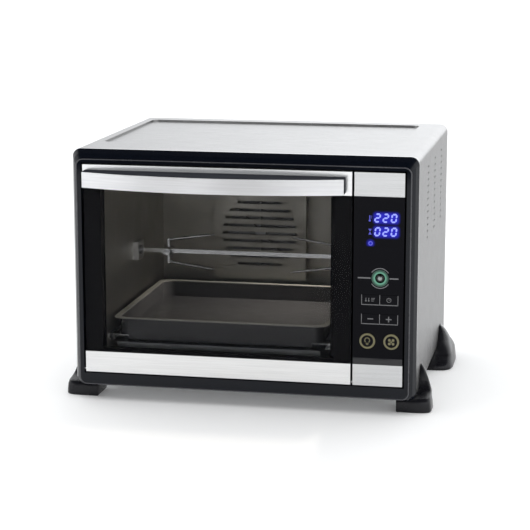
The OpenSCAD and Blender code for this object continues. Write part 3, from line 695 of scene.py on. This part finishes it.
def draw_bulb(ink, c):
    ink.stroke(arc_points(c.x, c.z + 1.2 * MM, 3.5 * MM, -55, 235), 1.2 * MM)
    for dz, half in ((-3.2, 2.0), (-4.9, 1.5)):
        ink.stroke([(c.x - half * MM, c.z + dz * MM), (c.x + half * MM, c.z + dz * MM)], 1.0 * MM)


def draw_fan(ink, c):
    ink.disc(c.x, c.z, 1.3 * MM)
    for turn in range(4):
        lean = math.radians(90 * turn + 45)
        ink.shape(arc_points(c.x + 3.7 * MM * math.cos(lean), c.z + 3.7 * MM * math.sin(lean),
                             2.0 * MM, 0, 330, 11))


def make_start_button():
    """Dark chromed dome in a lit ring."""
    centre, low, high = middle("start_button")
    radius = (high.x - low.x) / 2 - 0.9 * MM
    y = low.y + 0.2 * MM
    root = high.y - 2 * MM
    crown = 2.2 * MM
    angles = [math.radians(85 - 8.5 * i) for i in range(11)]
    rounding = [(radius * math.sin(a), y + crown * (1 - math.cos(a))) for a in angles]
    dome = turned([(radius, root), (radius, y + 2.3 * MM)] + rounding, centre)
    piece = add_piece("start_dome", dome, "button_metal", "start_button")
    collar = turned([(radius + 0.85 * MM, root), (radius + 0.85 * MM, y + 1.9 * MM),
                     (radius + 0.5 * MM, y + 1.6 * MM), (radius + 0.1 * MM, y + 2.0 * MM)], centre)
    add_piece("start_collar", collar, "button_metal", "start_button", look="key_plastic")
    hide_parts("start_button")


# ---------------------------------------------------------------- feet, figures and fittings

def foot_ring(inner, outer, front, back, power, z, steps=24):
    """One level of a foot: straight against the casing, bulging outwards."""
    middle_y, half = (front + back) / 2, (back - front) / 2
    ring = []
    for i in range(steps + 1):
        angle = math.pi * (i / steps - 0.5)
        s, c = math.sin(angle), math.cos(angle)
        ring.append((inner + (outer - inner) * abs(c) ** (2 / power),
                     middle_y + half * math.copysign(abs(s) ** (2 / power), s), z))
    ring += [(inner, back + (front - back) * t, z) for t in (0.25, 0.5, 0.75)]
    return ring


def make_foot(node, side):
    """A claw that carries the casing's lower corner and climbs its side to a tip.

    Each curve gives, against height, how far a face of the foot lies outside the
    casing or behind the foot's front end.
    """
    low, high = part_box(node)
    cover_low, cover_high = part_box("outer_cover")
    base_z, half_width = cover_low.z, cover_high.x
    clearance = 0.15 * MM
    casing_radius = 12 * MM
    tip, front = high.z, low.y
    is_front = front < 0
    inner = half_width - 29 * MM
    reach = max(high.x, -low.x) - half_width
    depth = 47 * MM if is_front else 107 * MM
    tip_front, tip_back = (50 * MM, 58 * MM) if is_front else (75 * MM, 87 * MM)
    outer_curve = smooth_curve([(0.0, reach - 0.6 * MM), (2 * MM, reach), (base_z, reach * 0.9),
                                (0.62 * tip, reach * 0.66), (0.86 * tip, reach * 0.36),
                                (tip, 2.0 * MM)], 8)
    if is_front:
        front_curve = smooth_curve([(0.0, 1 * MM), (14 * MM, 0.6 * MM), (19.5 * MM, 4 * MM),
                                    (24 * MM, 26 * MM), (30 * MM, 35 * MM), (0.8 * tip, 42 * MM),
                                    (tip, tip_front)], 8)
    else:
        front_curve = smooth_curve([(0.0, 1 * MM), (10 * MM, 4 * MM), (0.45 * tip, 30 * MM),
                                    (0.75 * tip, 56 * MM), (tip, tip_front)], 8)
    back_curve = smooth_curve([(0.0, depth - 1 * MM), (base_z, depth),
                               (0.6 * tip, depth - (depth - tip_back) * 0.25), (tip, tip_back)], 8)

    def at(curve, z):
        for (z0, v0), (z1, v1) in zip(curve, curve[1:]):
            if z <= z1:
                return v0 + (v1 - v0) * (z - z0) / max(z1 - z0, 1e-9)
        return curve[-1][1]

    def casing_x(z):
        """Half the casing's width at a height, which its rounded lower edge narrows."""
        rise = base_z + casing_radius - z
        if rise <= 0:
            return half_width + clearance
        return (half_width - casing_radius + math.sqrt(max(casing_radius ** 2 - rise ** 2, 0))
                + clearance)

    boxy, pointed = 5.5, 2.2
    levels = [0.0, 0.4 * MM, 1.2 * MM, 2.5 * MM] + [base_z * t for t in (0.3, 0.5, 0.7, 0.85)]
    rings = []
    for z in levels + [base_z - clearance]:
        squeeze = max(0.0, 1.6 * MM - z) * 0.8
        rings.append(foot_ring(inner + squeeze, half_width + at(outer_curve, z) - squeeze,
                               front + at(front_curve, z) + squeeze,
                               front + at(back_curve, z) - squeeze, boxy, z))
    steps = 26
    for i in range(steps + 1):
        t = i / steps
        z = base_z + 0.05 * MM + (tip - base_z - 0.4 * MM) * t
        power = boxy - (boxy - pointed) * min(1, t * 2.2)
        outer = half_width + at(outer_curve, z)
        rings.append(foot_ring(min(casing_x(z), outer - 0.6 * MM), outer,
                               front + at(front_curve, z), front + at(back_curve, z), power, z))
    if side < 0:
        rings = [[(-x, y, z) for x, y, z in ring] for ring in rings]
    piece = add_piece(node + "_claw", loft(rings), "foot_plastic", "casing")
    add_bevel(piece, 0.5 * MM, angle=55)
    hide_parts(node)


def digit_segments(number):
    """The lit segments of a figure as centre lines in units of half its width and height."""
    ends = {"a": ((-1, 1), (1, 1)), "b": ((1, 1), (1, 0)), "c": ((1, 0), (1, -1)),
            "d": ((1, -1), (-1, -1)), "e": ((-1, -1), (-1, 0)), "f": ((-1, 0), (-1, 1)),
            "g": ((-1, 0), (1, 0))}
    lit = {0: "abcdef", 2: "abged"}
    return [ends[name] for name in lit[number]]


def make_display_figures():
    """Slanted seven-segment figures, their two small symbols and the ring below."""
    low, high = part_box("display_digits")
    face_y, film = low.y + 0.12 * MM, 0.1 * MM
    ink = Print(face_y, film)
    half_w, half_h, stroke, slant = 3.1 * MM, 5.4 * MM, 2.3 * MM, 0.14
    pitch, row_step, gap = 11.5 * MM, 19.4 * MM, 0.25 * MM
    for row, figures in enumerate(((2, 2, 0), (0, 2, 0))):
        centre_z = high.z - 6.8 * MM - row_step * row
        for place, number in enumerate(figures):
            centre_x = high.x - 7.2 * MM - pitch * (2 - place)
            for start, end in digit_segments(number):
                a = Vector((start[0] * half_w, start[1] * half_h))
                b = Vector((end[0] * half_w, end[1] * half_h))
                unit = (b - a).normalized()
                a, b = a + unit * gap, b - unit * gap
                side = Vector((-unit.y, unit.x)) * stroke / 2
                point = unit * stroke / 2
                outline = [a, a + point + side, b - point + side,
                           b, b - point - side, a + point - side]
                ink.shape([(centre_x + v.x + slant * v.y, centre_z + v.y) for v in outline])
    figures_piece = ink.finish("display_figures", "casing", look="display_blue",
                               slot="display_blue")
    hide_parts("display_digits")

    dim = Print(face_y, film)
    x = low.x + 3 * MM
    upper, lower = high.z - 7.5 * MM, high.z - 26.5 * MM
    dim.stroke([(x, upper + 4 * MM), (x, upper - 2.5 * MM)], 1.3 * MM)
    dim.disc(x, upper - 3.2 * MM, 1.5 * MM)
    for dz in (3, 0.5):
        dim.stroke([(x + 1.4 * MM, upper + dz * MM), (x + 3 * MM, upper + dz * MM)], 0.7 * MM)
    for dz in (3.6, -3.6):
        dim.stroke([(x - 1.6 * MM, lower + dz * MM), (x + 2.6 * MM, lower + dz * MM)], 0.9 * MM)
    for end in (lower + 3 * MM, lower - 3 * MM):
        dim.shape([(x - 1.2 * MM, end), (x + 2.2 * MM, end), (x + 0.5 * MM, lower)])
    dim.ring(low.x + 4.4 * MM, low.z + 3.4 * MM, 2.5 * MM, 1.5 * MM)
    dim.finish("display_symbols", "casing", look="dim_blue", slot="display_blue")


def rounded_path(x0, x1, z0, z1, radius, steps=8):
    """A closed rectangle of (x, z) points with round corners."""
    path = []
    for cx, cz, start in ((x1 - radius, z1 - radius, 0), (x0 + radius, z1 - radius, 90),
                          (x0 + radius, z0 + radius, 180), (x1 - radius, z0 + radius, 270)):
        path += arc_points(cx, cz, radius, start, start + 90, steps)
    return path


def make_bezel_ridge():
    """The fine bead where the bezel's slopes meet its front face; its paler grey is a painted
    highlight.
    """
    low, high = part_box("front_bezel")
    path = rounded_path(low.x + 9.2 * MM, high.x - 9.2 * MM, low.z + 4.7 * MM, high.z - 13.7 * MM,
                        9.6 * MM)
    radius, sides = 0.9 * MM, 8
    centre_y = low.y + 0.25 * MM
    bm = bmesh.new()
    rings = []
    for i, (x, z) in enumerate(path):
        before, after = path[i - 1], path[(i + 1) % len(path)]
        out = Vector((after[1] - before[1], -(after[0] - before[0]))).normalized()
        turns = [2 * math.pi * k / sides for k in range(sides)]
        rings.append([bm.verts.new((x + out.x * radius * math.cos(a),
                                    centre_y + radius * math.sin(a),
                                    z + out.y * radius * math.cos(a))) for a in turns])
    for i, ring in enumerate(rings):
        other = rings[(i + 1) % len(rings)]
        for k in range(sides):
            m = (k + 1) % sides
            bm.faces.new((ring[k], ring[m], other[m], other[k]))
    add_piece("bezel_bead", bm, "black_plastic", "casing", look="ridge_highlight_plastic")


def make_column_ledge():
    """The shallow step at the foot of the fascia, just over the steel strip."""
    fascia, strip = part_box("column_fascia"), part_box("column_trim_bottom")
    gap = 0.4 * MM
    y, z = fascia[0].y, strip[1].z + gap
    profile = [(y + 0.1 * MM, z), (y - 0.7 * MM, z), (y - 0.75 * MM, z + 4 * MM),
               (y - 0.55 * MM, z + 8 * MM), (y - 0.2 * MM, z + 9.2 * MM),
               (y + 0.1 * MM, z + 9.4 * MM)]
    rings = [[(x, py, pz) for py, pz in profile] for x in (strip[0].x + gap, strip[1].x - gap)]
    ledge = add_piece("column_ledge", loft(rings), "fascia_plastic", "casing", look="ledge_plastic")
    add_bevel(ledge, 0.2 * MM)


def make_screws():
    """Cross-head screws that hold the back panel, their recesses drawn as dark crosses of painted
    shade.
    """
    low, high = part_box("back_panel")
    bm = bmesh.new()
    proud = 1.6 * MM
    marks = Print(high.y + proud, -0.1 * MM)
    sides = (low.x + 14 * MM, high.x - 14 * MM)
    places = [(x, z) for x in (sides[0], 0, sides[1]) for z in (low.z + 12 * MM, high.z - 12 * MM)]
    places += [(x, (low.z + high.z) / 2) for x in sides]
    profile = [(radius * MM, high.y + rise * MM) for radius, rise in
               ((0, 1.6), (2, 1.5), (3.1, 1.1), (3.5, 0.4), (3.5, -0.1), (0, -0.1))]
    for x, z in places:
        head = turned(profile, Vector((x, 0, z)), 24)
        mesh = bpy.data.meshes.new("head")
        head.to_mesh(mesh)
        head.free()
        bm.from_mesh(mesh)
        bpy.data.meshes.remove(mesh)
        # Dark crosses on the heads: painted shade in place of the recesses.
        marks.stroke([(x - 1.7 * MM, z), (x + 1.7 * MM, z)], 0.6 * MM)
        for start, end in ((-1.7, -0.3), (0.3, 1.7)):
            marks.stroke([(x, z + start * MM), (x, z + end * MM)], 0.6 * MM)
    add_piece("back_screws", bm, "galvanised_steel", "casing")
    marks.finish("back_screw_shaded_crosses", "casing", look="foot_plastic", slot="galvanised_steel")


def soften_edges(node, width):
    """Breaks a sheet-metal part's sharp edges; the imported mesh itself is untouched."""
    weld = nodes[node].modifiers.new("weld", "WELD")
    weld.merge_threshold = 0.001 * MM
    bevel = add_bevel(nodes[node], width, segments=2, angle=35)
    bevel.use_clamp_overlap = True


def make_cavity_light():
    """The oven's warm lamp, just inside its lens and aimed across the cavity."""
    low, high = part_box("lamp_lens")
    light = bpy.data.objects.new("oven_lamp", bpy.data.lights.new("oven_lamp", "AREA"))
    bpy.context.scene.collection.objects.link(light)
    light.data.size = 0.05
    light.data.energy = 2.8
    light.data.color = (1.0, 0.92, 0.78)
    light.visible_glossy = False
    light.visible_camera = False
    light.location = (low.x - 12 * MM, (low.y + high.y) / 2, (low.z + high.z) / 2)
    light.rotation_euler = Vector((-0.8, -0.45, -0.4)).to_track_quat("-Z", "Y").to_euler()
    light.parent = frame["bodies"]["casing"]


# ---------------------------------------------------------------- the whole oven

mark_fascia()
for key_name, icon in (("temperature", draw_temperature), ("time", draw_clock),
                       ("minus", draw_minus), ("plus", draw_plus)):
    mark_key(key_name, icon)
make_display_figures()
make_bezel_ridge()
make_column_ledge()
make_screws()
for trim in ("door_trim_top", "door_trim_bottom", "column_trim_top", "column_trim_bottom",
             "temperature_key", "time_key", "minus_key", "plus_key"):
    soften_edges(trim, 0.3 * MM)
make_round_key("light_key", draw_bulb)
make_round_key("fan_key", draw_fan)
make_start_button()
for foot_node in ("foot_front_left", "foot_front_right", "foot_rear_left", "foot_rear_right"):
    make_foot(foot_node, -1 if foot_node.endswith("left") else 1)
make_cavity_light()
